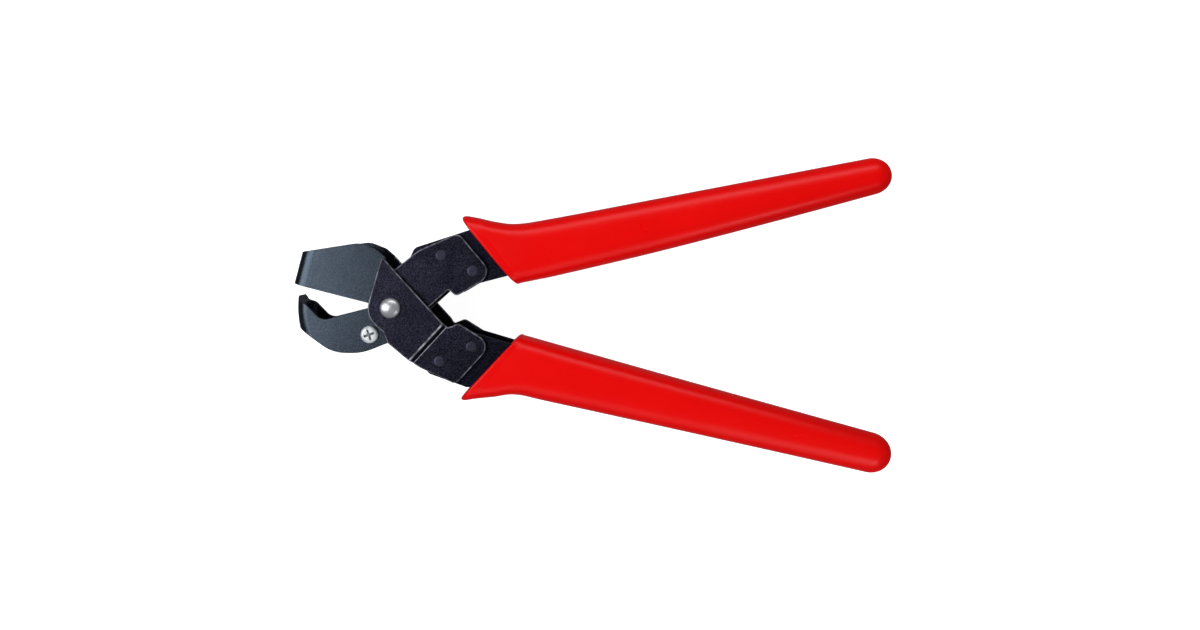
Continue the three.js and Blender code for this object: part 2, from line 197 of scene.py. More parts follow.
# Each grip as stations from its collar to the start of its round end: the outer edge, the inner edge,
# half the depth, and how square the section is. Drawn with +Y outwards.
UPPER_GRIP = (
    ((26.2, 38.9), (50.8, 10.3), 11.8, 4.0),
    ((33.1, 38.1), (53.5, 10.8), 11.9, 3.8),
    ((41.5, 36.4), (56.8, 11.5), 12.0, 3.6),
    ((50.5, 35.7), (61.3, 12.5), 12.0, 3.4),
    ((64.6, 38.0), (70.1, 14.5), 11.7, 3.0),
    ((107, 46.8), (112.1, 25.2), 10.5, 2.7),
    ((157.8, 57.4), (162.1, 39.1), 9.2, 2.4),
    ((199, 66.0), (202.6, 50.8), 8.0, 2.15),
)
LOWER_GRIP = (
    ((26.9, 39.6), (52.3, 11.5), 11.8, 4.0),
    ((34.4, 38.4), (54.9, 12.0), 11.9, 3.8),
    ((42.2, 37.5), (57.7, 12.7), 12.0, 3.6),
    ((51.7, 36.4), (62, 13.8), 12.0, 3.4),
    ((66, 39.3), (71.4, 16.2), 11.7, 3.0),
    ((108.6, 48.0), (113.5, 27.2), 10.5, 2.7),
    ((159.9, 58.6), (164.2, 40.3), 9.2, 2.4),
    ((200, 67.0), (203.9, 50.5), 8.2, 2.15),
)
UPPER_CAP = 8.7
LOWER_CAP = 9.3
GRIP_SIDES = 72
GRIP_RINGS = 12  # between two stations
CAP_RINGS = 14

# ------------------------------------------------------------------ shapes


def rounded(corners, step=ARC_STEP):
    """Points of a closed outline through corners, each rounded by an arc of its own radius."""
    points = []
    for i, (x, y, radius) in enumerate(corners):
        corner = Vector((x, y))
        if radius == 0:
            points.append(corner)
            continue
        back = (Vector(corners[i - 1][:2]) - corner).normalized()
        on = (Vector(corners[(i + 1) % len(corners)][:2]) - corner).normalized()
        half = math.acos(max(-1, min(1, back.dot(on)))) / 2
        middle = corner + (back + on).normalized() * radius / math.sin(half)
        first = corner + back * radius / math.tan(half) - middle
        last = corner + on * radius / math.tan(half) - middle
        start = math.atan2(first.y, first.x)
        turn = (math.atan2(last.y, last.x) - start + math.pi) % math.tau - math.pi
        count = max(2, math.ceil(abs(turn) / step))
        for k in range(count + 1):
            angle = start + turn * k / count
            points.append(middle + radius * Vector((math.cos(angle), math.sin(angle))))
    return points


def mesh_of(bm):
    bmesh.ops.recalc_face_normals(bm, faces=bm.faces)
    mesh = bpy.data.meshes.new("shape")
    bm.to_mesh(mesh)
    bm.free()
    return mesh


def skin(rings):
    """A solid through rings of points, capped at both ends."""
    bm = bmesh.new()
    rows = [[bm.verts.new(point) for point in ring] for ring in rings]
    bm.faces.new(rows[0])
    bm.faces.new(rows[-1])
    count = len(rows[0])
    for low, high in zip(rows, rows[1:]):
        for i in range(count):
            j = (i + 1) % count
            bm.faces.new((low[i], low[j], high[j], high[i]))
    return mesh_of(bm)


def prism(points, low, high):
    return skin([[(p[0], p[1], z) for p in points] for z in (low, high)])


def plate(corners, low, high):
    return prism(rounded(corners), low, high)


def slab_across(points, angle, reach):
    """A prism whose section lies along one direction of the XY plane and Z, and that runs square to both."""
    along = Vector((math.cos(angle), math.sin(angle), 0))
    across = along.cross(Vector((0, 0, 1)))
    rings = []
    for side in (-reach, reach):
        rings.append([along * p[0] + across * side + Vector((0, 0, p[1])) for p in points])
    return skin(rings)


def lathe(profile, at=(0, 0), sides=ROUND_SIDES):
    """A round solid along Z from (radius, z) pairs that start and end on the axis."""
    bm = bmesh.new()
    rows = []
    for radius, z in profile:
        if radius < 1e-6:
            rows.append([bm.verts.new((at[0], at[1], z))])
            continue
        row = []
        for i in range(sides):
            angle = math.tau * i / sides
            x = at[0] + radius * math.cos(angle)
            y = at[1] + radius * math.sin(angle)
            row.append(bm.verts.new((x, y, z)))
        rows.append(row)
    for low, high in zip(rows, rows[1:]):
        for i in range(sides):
            j = (i + 1) % sides
            if len(low) == 1:
                bm.faces.new((low[0], high[i], high[j]))
            elif len(high) == 1:
                bm.faces.new((low[i], low[j], high[0]))
            else:
                bm.faces.new((low[i], low[j], high[j], high[i]))
    return mesh_of(bm)


def rod(radius, low, high, at=(0, 0)):
    return lathe([(0, low), (radius, low), (radius, high), (0, high)], at)


def object_of(mesh, name="working"):
    piece = bpy.data.objects.new(name, mesh)
    bpy.context.scene.collection.objects.link(piece)
    return piece


def baked(piece):
    """The mesh that an object's modifiers make. The object goes."""
    bpy.context.view_layer.update()
    depsgraph = bpy.context.evaluated_depsgraph_get()
    mesh = bpy.data.meshes.new_from_object(piece.evaluated_get(depsgraph))
    bpy.data.objects.remove(piece)
    return mesh


def combined(mesh, others, operation):
    piece = object_of(mesh)
    tools = [object_of(other) for other in others]
    for tool in tools:
        modifier = piece.modifiers.new("combine", "BOOLEAN")
        modifier.operation = operation
        modifier.solver = "EXACT"
        modifier.object = tool
    result = baked(piece)
    for tool in tools:
        bpy.data.objects.remove(tool)
    return result


def cut(mesh, *others):
    return combined(mesh, others, "DIFFERENCE")


def joined(mesh, *others):
    return combined(mesh, others, "UNION")


def shared(mesh, *others):
    return combined(mesh, others, "INTERSECT")


def flipped(mesh, axis):
    """A mirror image of a mesh, with its faces pointing out."""
    result = mesh.copy()
    scale = Vector((1, 1, 1))
    scale[axis] = -1
    result.transform(Matrix.Diagonal((*scale, 1)))
    result.flip_normals()
    return result


def to_frame(mesh):
    mesh.transform(Matrix.Scale(MM, 4) @ Matrix.Translation((0, 0, MIDDLE_Z)))
    return mesh


def softened(mesh, width, angle=40, material=0, clamp=True):
    """Bevels the edges that are sharper than angle. The bevels may take a material of their own."""
    while len(mesh.materials) < MATERIAL_SLOTS:
        mesh.materials.append(None)
    piece = object_of(mesh)
    weld = piece.modifiers.new("weld", "WELD")
    weld.merge_threshold = 0.002
    bevel = piece.modifiers.new("edges", "BEVEL")
    bevel.width = width
    bevel.segments = 2
    bevel.limit_method = "ANGLE"
    bevel.angle_limit = math.radians(angle)
    bevel.material = material
    bevel.use_clamp_overlap = clamp
    return baked(piece)


def shade(mesh, angle=32):
    """Smooth shading, with normals that keep the large faces flat up to their bevels."""
    mesh.shade_smooth()
    mesh.set_sharp_from_angle(angle=math.radians(angle))
    piece = object_of(mesh)
    normals = piece.modifiers.new("normals", "WEIGHTED_NORMAL")
    normals.mode = "FACE_AREA"
    normals.weight = 80
    normals.keep_sharp = True
    return baked(piece)


def finish(name, mesh, body, slot, materials, *nodes):
    """Puts a finished mesh into the frame as a piece that stands for its CAD nodes."""
    smooth = shade(mesh)
    smooth.name = name
    while len(smooth.materials) < len(materials):
        smooth.materials.append(None)
    while len(smooth.materials) > len(materials):
        smooth.materials.pop()
    for i, material in enumerate(materials):
        smooth.materials[i] = material
    piece = object_of(to_frame(smooth), name)
    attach(piece, body)
    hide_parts(*nodes)
    return piece


# ------------------------------------------------------------------ materials


class Recipe:
    """A material's nodes, laid down one after another."""

    def __init__(self, name):
        self.material = bpy.data.materials.new(name)
        self.material.use_nodes = True
        self.nodes = self.material.node_tree.nodes
        self.links = self.material.node_tree.links
        self.shader = self.nodes["Principled BSDF"]
        self.place = self.nodes.new("ShaderNodeTexCoord").outputs["Object"]

    def link(self, source, target):
        self.links.new(source, target)

    def stretched(self, scale, turn=0.0, centre=(0, 0, 0)):
        """Object coordinates, moved to a centre, turned about Z and stretched."""
        mapping = self.nodes.new("ShaderNodeMapping")
        mapping.vector_type = "POINT"
        mapping.inputs["Location"].default_value = [-c * s for c, s in zip(centre, scale)]
        mapping.inputs["Rotation"].default_value = (0, 0, turn)
        mapping.inputs["Scale"].default_value = scale
        self.link(self.place, mapping.inputs["Vector"])
        return mapping.outputs["Vector"]

    def noise(self, scale, detail=3.0, roughness=0.55, vector=None):
        noise = self.nodes.new("ShaderNodeTexNoise")
        noise.inputs["Scale"].default_value = scale
        noise.inputs["Detail"].default_value = detail
        noise.inputs["Roughness"].default_value = roughness
        self.link(vector or self.place, noise.inputs["Vector"])
        return noise.outputs["Fac"]

    def spread(self, value, low, high, out_low=0.0, out_high=1.0):
        """Maps a value from one range to another, clamped."""
        spread = self.nodes.new("ShaderNodeMapRange")
        ends = {"From Min": low, "From Max": high, "To Min": out_low, "To Max": out_high}
        for name, number in ends.items():
            spread.inputs[name].default_value = number
        self.link(value, spread.inputs["Value"])
        return spread.outputs["Result"]

    def mixed(self, share, first, second):
        """A colour between two, each a colour or another node's output."""
        mix = self.nodes.new("ShaderNodeMix")
        mix.data_type = "RGBA"
        self.link(share, mix.inputs["Factor"])
        for socket, colour in ((mix.inputs[6], first), (mix.inputs[7], second)):
            if isinstance(colour, tuple):
                socket.default_value = (*colour, 1)
            else:
                self.link(colour, socket)
        return mix.outputs[2]

    def added(self, first, second):
        total = self.nodes.new("ShaderNodeMath")
        total.operation = "ADD"
        self.link(first, total.inputs[0])
        self.link(second, total.inputs[1])
        return total.outputs[0]

    def colour(self, output):
        self.link(output, self.shader.inputs["Base Color"])

    def rough(self, output):
        self.link(output, self.shader.inputs["Roughness"])

    def bump(self, height, distance, strength):
        """Raises the surface by a height times a distance in metres."""
        bump = self.nodes.new("ShaderNodeBump")
        bump.inputs["Strength"].default_value = strength
        bump.inputs["Distance"].default_value = distance
        self.link(height, bump.inputs["Height"])
        self.link(bump.outputs["Normal"], self.shader.inputs["Normal"])

    def metal(self, metallic=1.0):
        self.shader.inputs["Metallic"].default_value = metallic


def plate_material(name, dark, light, roughness):
    """Blackened steel with a fine speckled grain, cloudy tone and faint scratches."""
    recipe = Recipe(name)
    recipe.metal()
    grain = recipe.noise(2600, 4, 0.7)
    clouds = recipe.noise(90, 3)
    scratches = recipe.noise(1, 2, 0.5, recipe.stretched((160, 5200, 160), math.radians(35)))
    speckle = recipe.spread(grain, 0.4, 0.68)
    tone = recipe.mixed(speckle, dark, light)
    cloudy = recipe.mixed(recipe.spread(clouds, 0.35, 0.7, 0, 0.45), tone, dark)
    scratched = recipe.spread(scratches, 0.66, 0.78, 0, 0.35)
    recipe.colour(recipe.mixed(scratched, cloudy, tuple(min(1, 1.8 * c) for c in light)))
    recipe.rough(recipe.spread(grain, 0.3, 0.7, roughness - 0.07, roughness + 0.09))
    recipe.bump(recipe.added(grain, scratches), 0.00004, 0.6)
    return recipe.material


def patchy_material(name, dark, light, metallic=0.45):
    """Steel that is patchy between two tones. It makes the rubbed edges, which are also lightened as a
    painted edge highlight, the painted shade in the screw's recess, the painted highlight on the joggle's
    bends and the jaws' darker edges.
    """
    recipe = Recipe(name)
    recipe.metal(metallic)
    rub = recipe.spread(recipe.noise(420, 3), 0.38, 0.62)
    recipe.colour(recipe.mixed(rub, dark, light))
    recipe.rough(recipe.spread(rub, 0, 1, 0.5, 0.3))
    recipe.bump(recipe.noise(2400, 3), 0.00003, 0.4)
    return recipe.material


def bright_material(name, colour, roughness, metallic, centre):
    """Turned bright steel: faint rings about the piece's own axis, and small handling marks."""
    recipe = Recipe(name)
    recipe.metal(metallic)
    wave = recipe.nodes.new("ShaderNodeTexWave")
    wave.wave_type = "RINGS"
    wave.rings_direction = "Z"
    wave.inputs["Scale"].default_value = 900
    wave.inputs["Distortion"].default_value = 0.6
    wave.inputs["Detail"].default_value = 2
    centre_m = (centre[0] * MM, centre[1] * MM, 0)
    recipe.link(recipe.stretched((1, 1, 1), 0, centre_m), wave.inputs["Vector"])
    marks = recipe.noise(900, 4)
    dull = tuple(0.85 * c for c in colour)
    recipe.colour(recipe.mixed(recipe.spread(marks, 0.45, 0.75), colour, dull))
    recipe.rough(recipe.spread(marks, 0.3, 0.7, roughness - 0.03, roughness + 0.05))
    recipe.bump(recipe.added(wave.outputs["Fac"], marks), 0.000004, 0.3)
    return recipe.material


def wire_material():
    """Drawn wire, greyer in patches."""
    recipe = Recipe("drawn_wire")
    recipe.metal()
    patches = recipe.noise(350, 3)
    recipe.colour(recipe.mixed(recipe.spread(patches, 0.4, 0.65), (0.42, 0.43, 0.45), (0.2, 0.2, 0.22)))
    recipe.rough(recipe.spread(patches, 0.3, 0.7, 0.28, 0.42))
    recipe.bump(recipe.noise(3000, 2), 0.00001, 0.4)
    return recipe.material


def grip_material():
    """Glossy red plastic with a slight orange peel and a little tone variation."""
    recipe = Recipe("red_plastic")
    tone = recipe.noise(28, 2)
    recipe.colour(recipe.mixed(recipe.spread(tone, 0.2, 0.8), (0.75, 0.001, 0.001), (0.81, 0.0018, 0.0012)))
    peel = recipe.noise(420, 2, 0.4)
    handling = recipe.noise(70, 4, 0.6)
    recipe.rough(recipe.spread(handling, 0.2, 0.8, 0.26, 0.34))
    recipe.bump(peel, 0.00004, 0.35)
    recipe.shader.inputs["Specular IOR Level"].default_value = 0.22
    return recipe.material


PLATE = plate_material("blackened_plate", (0.004, 0.004, 0.01), (0.108, 0.108, 0.17), 0.37)
RIVET_HEAD = plate_material("rivet_head", (0.03, 0.03, 0.05), (0.19, 0.19, 0.28), 0.42)
JAW = plate_material("burnished_jaw", (0.046, 0.06, 0.08), (0.094, 0.118, 0.152), 0.25)
ARM = plate_material("arm_plate", (0.005, 0.005, 0.012), (0.075, 0.073, 0.125), 0.36)
# Painted shade for the hollow of the screw's cross recess.
RECESS_SHADE = patchy_material("painted_recess_shade", (0.13, 0.14, 0.15), (0.3, 0.31, 0.33))
# Worn edges, lighter than plain wear would make them as a painted edge highlight.
WORN_EDGE_GLINT = patchy_material("worn_edge_and_glint", (0.04, 0.04, 0.053), (0.22, 0.22, 0.26), 0.3)
# A painted highlight for the joggle's upper bend and foot.
JOGGLE_BEND_HIGHLIGHT = patchy_material("painted_bend_highlight", (0.12, 0.12, 0.15), (0.62, 0.62, 0.68), 0.25)
JAW_EDGE = patchy_material("jaw_edge", (0.015, 0.018, 0.025), (0.07, 0.08, 0.1))
PIVOT_STEEL = bright_material("pivot_steel", (0.94, 0.95, 0.98), 0.36, 0.88, (0, 0))
SCREW_ZINC = bright_material("screw_zinc", (0.84, 0.87, 0.9), 0.3, 0.4, SCREW_AT)
WIRE = wire_material()
RED = grip_material()

# ------------------------------------------------------------------ cheeks


def joggle_points():
    """Section of the outer cheeks' plate: flat, eased inwards to the arm, and flat again."""
    drop = OUTER_IN - INNER_IN

    def edge(level, lead):
        points = [(-REACH, level)]
        for i in range(JOGGLE_STEPS + 1):
            share = i / JOGGLE_STEPS
            along = JOGGLE_START - lead + (JOGGLE_END - JOGGLE_START) * share
            points.append((along, level - drop * (0.5 - 0.5 * math.cos(math.pi * share))))
        points.append((REACH, level - drop))
        return points

    return edge(OUTER_IN, JOGGLE_LEAD) + edge(OUTER_OUT, 0)[::-1]


def rivet_holes(side):
    return [rod(RIVET_RADIUS + GAP, -OUTER_OUT, OUTER_OUT, (x, side * y)) for x, y in RIVETS]


def pivot_hole():
    return rod(PIVOT_RADIUS + GAP, -HEAD_IN, HEAD_IN)


def outer_cheek():
    """A joggled plate whose bends carry a painted highlight where it steps in to the arm."""
    blank = plate(OUTER_CHEEK, INNER_IN - 1, OUTER_OUT + 1)
    bent = shared(blank, slab_across(joggle_points(), JOGGLE_ANGLE, REACH))
    eased = softened(bent, EDGE, material=ON_EDGES, clamp=False)
    mesh = cut(eased, pivot_hole(), *rivet_holes(-1))
    along = Vector((math.cos(JOGGLE_ANGLE), math.sin(JOGGLE_ANGLE)))
    # Faces on the joggle's upper bend and foot take the painted highlight.
    for face in mesh.polygons:
        place = face.center.xy.dot(along)
        brow = JOGGLE_START < place < JOGGLE_START + JOGGLE_BROW
        foot = JOGGLE_END - JOGGLE_FOOT < place < JOGGLE_END
        if face.normal.z > 0.5 and (brow or foot):
            face.material_index = ON_BEND_HIGHLIGHTS
    return mesh


def inner_cheek():
    """A flat plate with a round eye about the pivot."""
    blades = (plate(INNER_CHEEK, INNER_IN, INNER_OUT), rod(EYE_RADIUS, INNER_IN, INNER_OUT))
    body, eye = (softened(blade, EDGE, material=ON_EDGES, clamp=False) for blade in blades)
    return cut(joined(body, eye), pivot_hole(), *rivet_holes(1))


def add_cheeks():
    """The front plates, and their mirror images at the rear."""
    for lever, mesh in (("lower", outer_cheek()), ("upper", inner_cheek())):
        for place, shape in (("rear", flipped(mesh, 2)), ("front", mesh)):
            node = f"{lever}_cheek_{place}"
            name = f"{lever}_plate_{place}"
            finish(name, shape, f"{lever}_lever", "blackened_plate", [PLATE, WORN_EDGE_GLINT, JOGGLE_BEND_HIGHLIGHT], node)


# ------------------------------------------------------------------ jaws


def u_section(front, half, corner):
    """Outline of a U's outside or inside, closed far behind the pivot."""
    back = -10 if half == INNER_OUT else -20
    corners = [(back, -half, 0), (front, -half, corner), (front, half, corner), (back, half, 0)]
    return rounded(corners, BEND_STEP)


def die():
    """The upper jaw: a strip bent into a U, trimmed to its side outline."""
    outside = slab_across(u_section(DIE_INNER + SHEET, INNER_OUT, DIE_CORNER), DIE_ANGLE, 50)
    inside = slab_across(u_section(DIE_INNER, INNER_IN, DIE_CORNER - SHEET), DIE_ANGLE, 60)
    bent = cut(outside, inside)
    return softened(shared(bent, plate(DIE_SIDE, -OUTER_OUT, OUTER_OUT)), EDGE, material=ON_EDGES)


def drum(radius, half, corner):
    """A round drum about the pivot with its rim's corners rounded."""
    steps = 8
    profile = [(0, -half)]
    for side in (-1, 1):
        for i in range(steps + 1):
            turn = (i if side < 0 else steps - i) / steps * math.pi / 2
            across = radius - corner + corner * math.sin(turn)
            profile.append((across, side * (half - corner + corner * math.cos(turn))))
    profile.append((0, half))
    return lathe(profile, sides=DRUM_SIDES)


def punch():
    """The lower jaw: a U whose front follows a drum about the pivot, so that it swings into the die."""
    outside = drum(PUNCH_RADIUS, PUNCH_OUT, PUNCH_CORNER)
    inside = drum(PUNCH_RADIUS - SHEET, PUNCH_IN, PUNCH_CORNER - SHEET)
    side = joined(plate(PUNCH_SIDE, -OUTER_OUT, OUTER_OUT), rod(EYE_RADIUS, -OUTER_OUT, OUTER_OUT))
    screw_hole = rod(SCREW_RADIUS + GAP, -HEAD_IN, HEAD_IN, SCREW_AT)
    bent = shared(cut(outside, inside), side)
    return softened(cut(bent, pivot_hole(), screw_hole), EDGE, material=ON_EDGES)


def add_jaws():
    finish("die_jaw", die(), "lower_lever", "burnished_jaw", [JAW, JAW_EDGE], "upper_jaw")
    finish("punch_jaw", punch(), "upper_lever", "burnished_jaw", [JAW, JAW_EDGE], "lower_jaw")


# ------------------------------------------------------------------ arms and grips


def arm_wedge(grow):
    """The room of an arm seen from its edge: full at the tang, tapering inside the grip."""
    front = [(x, depth + grow) for x, depth in ARM_DEPTHS]
    rear = [(x, -depth) for x, depth in reversed(front)]
    return slab_across(front + rear, 0, 90)


def round_web(mesh, radius):
    """Rounds the long edges between the web and the flanges."""
    bm = bmesh.new()
    bm.from_mesh(mesh)
    bmesh.ops.remove_doubles(bm, verts=bm.verts, dist=0.001)
    chosen = []
    for edge in bm.edges:
        if len(edge.link_faces) != 2:
            continue
        normals = [face.normal for face in edge.link_faces]
        flange = max(abs(n.z) for n in normals) > 0.9
        web = any(n.y > 0.85 and abs(n.z) < 0.3 for n in normals)
        if flange and web:
            chosen.append(edge)
    bmesh.ops.bevel(
        bm,
        geom=chosen,
        offset=radius,
        offset_type="OFFSET",
        segments=6,
        profile=0.5,
        affect="EDGES",
        clamp_overlap=True,
    )
    return mesh_of(bm)


def channel(grow, front):
    """An arm's pressed channel, with its open side towards the other lever."""
    outside = shared(plate(arm_outline(grow, front), -OUTER_OUT, OUTER_OUT), arm_wedge(grow))
    inside = shared(plate(hollow_outline(grow), -OUTER_OUT, OUTER_OUT), arm_wedge(-SHEET - grow))
    return cut(round_web(outside, ARM_BEND + grow), round_web(inside, ARM_BEND - SHEET))


def arm(front):
    return softened(cut(channel(0, front), *rivet_holes(1)), EDGE, material=ON_EDGES)


def between(stations, place):
    """Values of the stations at a place counted in stations, on a smooth curve through them."""
    last = len(stations) - 1
    i = min(int(place), last - 1)
    share = place - i
    before, first, second, after = (stations[max(0, min(last, i + k))] for k in (-1, 0, 1, 2))

    def smooth(a, b, c, d):
        slope_in = (c - a) / 2
        slope_out = (d - b) / 2
        square = share * share
        cube = square * share
        start = (2 * cube - 3 * square + 1) * b + (cube - 2 * square + share) * slope_in
        return start + (3 * square - 2 * cube) * c + (cube - square) * slope_out

    flat = [(*s[0], *s[1], s[2], s[3]) for s in (before, first, second, after)]
    return [smooth(*values) for values in zip(*flat)]


def grip_ring(values, grow=0.0, scale=1.0, push=0.0, pull=(0, 0)):
    """One section of a grip: a rounded square that leans with its two edges.

    The edges may be pulled in, the skin grown, and the section scaled and pushed on."""
    outer_x, outer_y, inner_x, inner_y, depth, square = values
    outer = Vector((outer_x, outer_y, 0))
    inner = Vector((inner_x, inner_y, 0))
    slope = (outer - inner).normalized()
    outer -= slope * pull[0]
    inner += slope * pull[1]
    centre = (outer + inner) / 2
    up = (outer - inner) / 2
    half = up.length
    up_way = up.normalized()
    forward = Vector((up_way.y, -up_way.x, 0))
    ring = []
    for i in range(GRIP_SIDES):
        turn = math.tau * i / GRIP_SIDES
        high = math.copysign(abs(math.cos(turn)) ** (2 / square), math.cos(turn))
        deep = math.copysign(abs(math.sin(turn)) ** (2 / square), math.sin(turn))
        point = centre + up_way * high * (half + grow) * scale
        point += Vector((0, 0, deep * (depth + grow) * scale))
        ring.append(point + forward * push)
    return ring


# The collar: how far behind its edge in stations, how far the outer and the inner corner are rounded
# back, and how far the skin stands proud, with a low bead just behind the edge.
COLLAR = (
    (0.0, 2.9, 2.4, -1.0),
    (0.04, 2.3, 1.6, -0.6),
    (0.1, 1.85, 1.0, -0.25),
    (0.18, 1.4, 0.5, 0.0),
    (0.28, 0.95, 0.2, 0.16),
    (0.4, 0.5, 0.05, 0.24),
    (0.55, 0.15, 0.0, 0.22),
    (0.75, 0.0, 0.0, 0.08),
    (0.9, 0.0, 0.0, 0.0),
)


def grip_shape(stations, cap):
    """A grip's outside: its collar, its body through the stations and its round end."""
    last = len(stations) - 1
    rings = []
    for place, outer_pull, inner_pull, proud in COLLAR:
        rings.append(grip_ring(between(stations, place), proud, pull=(outer_pull, inner_pull)))
    for i in range(GRIP_RINGS, last * GRIP_RINGS + 1):
        rings.append(grip_ring(between(stations, i / GRIP_RINGS)))
    end = between(stations, last)
    for i in range(1, CAP_RINGS + 1):
        turn = i / CAP_RINGS * math.radians(86)
        rings.append(grip_ring(end, scale=math.cos(turn), push=cap * math.sin(turn)))
    return skin(rings)


def grip(stations, cap):
    """A grip with room for its arm."""
    return cut(grip_shape(stations, cap), channel(GAP, UPPER_TANG_FRONT))


def add_handles():
    arms = {"upper": UPPER_TANG_FRONT, "lower": LOWER_TANG_FRONT}
    grips = {"upper": (UPPER_GRIP, UPPER_CAP), "lower": (LOWER_GRIP, LOWER_CAP)}
    for lever in ("upper", "lower"):
        arm_mesh = arm(arms[lever])
        grip_mesh = grip(*grips[lever])
        if lever == "lower":
            arm_mesh = flipped(arm_mesh, 1)
            grip_mesh = flipped(grip_mesh, 1)
        body = f"{lever}_lever"
        finish(f"{lever}_channel_arm", arm_mesh, body, "blackened_plate", [ARM, WORN_EDGE_GLINT], f"{lever}_arm")
        finish(f"{lever}_handle_grip", grip_mesh, body, "red_grip", [RED], f"{lever}_grip")


# ------------------------------------------------------------------ rivets, by Geometry Nodes


def new_tree(name, sockets):
    """A geometry node group with named inputs, and a lookup from an input's name to its identifier."""
    tree = bpy.data.node_groups.new(name, "GeometryNodeTree")
    tree.interface.new_socket("Geometry", in_out="INPUT", socket_type="NodeSocketGeometry")
    keys = {}
    for label, kind in sockets:
        socket = tree.interface.new_socket(label, in_out="INPUT", socket_type=kind)
        keys[label] = socket.identifier
    tree.interface.new_socket("Geometry", in_out="OUTPUT", socket_type="NodeSocketGeometry")
    return tree, keys


def node(tree, kind, **values):
    """Adds a node, with inputs given by name as numbers or as other nodes' outputs."""
    made = tree.nodes.new(kind)
    for label, value in values.items():
        socket = made.inputs[label.replace("_", " ")]
        if isinstance(value, bpy.types.NodeSocket):
            tree.links.new(value, socket)
        else:
            socket.default_value = value
    return made


def maths(tree, operation, first, second=0.0):
    """Adds a maths node on two numbers, each given or another node's output."""
    made = tree.nodes.new("ShaderNodeMath")
    made.operation = operation
    for socket, value in zip(made.inputs, (first, second)):
        if isinstance(value, bpy.types.NodeSocket):
            tree.links.new(value, socket)
        else:
            socket.default_value = value
    return made.outputs[0]


def rivet_tree():
    """Puts a rivet with two low domed heads on each point of a mesh."""
    sockets = [
        ("Shank Radius", "NodeSocketFloat"),
        ("Head Radius", "NodeSocketFloat"),
        ("Head Height", "NodeSocketFloat"),
        ("Under Head", "NodeSocketFloat"),
        ("Material", "NodeSocketMaterial"),
    ]
    tree, keys = new_tree("rivets_on_points", sockets)
    given = tree.nodes.new("NodeGroupInput").outputs
    steps = 9
    top = maths(tree, "ADD", given["Under Head"], given["Head Height"])
    low = node(tree, "ShaderNodeCombineXYZ", Z=given["Under Head"]).outputs[0]
    high = node(tree, "ShaderNodeCombineXYZ", Z=top).outputs[0]
    line = node(tree, "GeometryNodeCurvePrimitiveLine", Start=low, End=high).outputs[0]
    fine = node(tree, "GeometryNodeResampleCurve", Curve=line, Count=steps).outputs[0]
    share = tree.nodes.new("GeometryNodeSplineParameter").outputs["Factor"]
    squared = maths(tree, "MULTIPLY", maths(tree, "POWER", share, 2.4), 0.45)
    round_off = maths(tree, "SQRT", maths(tree, "SUBTRACT", 1.0, squared))
    radius = maths(tree, "MULTIPLY", round_off, given["Head Radius"])
    swelled = node(tree, "GeometryNodeSetCurveRadius", Curve=fine, Radius=radius).outputs[0]
    circle = node(tree, "GeometryNodeCurvePrimitiveCircle", Resolution=40, Radius=1.0).outputs[0]
    head = tree.nodes.new("GeometryNodeCurveToMesh")
    tree.links.new(swelled, head.inputs["Curve"])
    tree.links.new(circle, head.inputs["Profile Curve"])
    head.inputs["Fill Caps"].default_value = True
    own_radius = tree.nodes.new("GeometryNodeInputRadius").outputs[0]
    tree.links.new(own_radius, head.inputs["Scale"])
    turned = node(tree, "GeometryNodeTransform", Geometry=head.outputs[0])
    turned.inputs["Rotation"].default_value = (math.pi, 0, 0)
    length = maths(tree, "MULTIPLY", given["Under Head"], 2.0)
    shank = node(
        tree,
        "GeometryNodeMeshCylinder",
        Vertices=40,
        Radius=given["Shank Radius"],
        Depth=length,
    )
    join = tree.nodes.new("GeometryNodeJoinGeometry")
    for part in (head.outputs[0], turned.outputs[0], shank.outputs["Mesh"]):
        tree.links.new(part, join.inputs[0])
    spread = node(tree, "GeometryNodeInstanceOnPoints", Points=given["Geometry"], Instance=join.outputs[0])
    real = node(tree, "GeometryNodeRealizeInstances", Geometry=spread.outputs[0])
    painted = node(tree, "GeometryNodeSetMaterial", Geometry=real.outputs[0], Material=given["Material"])
    out = tree.nodes.new("NodeGroupOutput")
    tree.links.new(painted.outputs[0], out.inputs[0])
    return tree, keys


def grown(mesh, tree, keys, values):
    """The mesh that a geometry node tree makes from another mesh."""
    piece = object_of(mesh)
    modifier = piece.modifiers.new("grow", "NODES")
    modifier.node_group = tree
    for label, value in values.items():
        modifier[keys[label]] = value
    return baked(piece)


def add_rivets():
    tree, keys = rivet_tree()
    sizes = {
        "Shank Radius": RIVET_RADIUS,
        "Head Radius": RIVET_HEAD_RADIUS,
        "Head Height": RIVET_HEAD_HEIGHT,
        "Under Head": INNER_OUT - RIVET_SINK,
        "Material": RIVET_HEAD,
    }
    for lever, side in (("upper", 1), ("lower", -1)):
        points = bpy.data.meshes.new("rivet_places")
        points.from_pydata([(x, side * y, 0) for x, y in RIVETS], [], [])
        made = grown(points, tree, keys, sizes)
        nodes = [f"{lever}_rivet_{place}" for place in ("fore", "aft")]
        finish(f"{lever}_rivets", made, f"{lever}_lever", "blackened_plate", [RIVET_HEAD], *nodes)


# ------------------------------------------------------------------ turned pieces


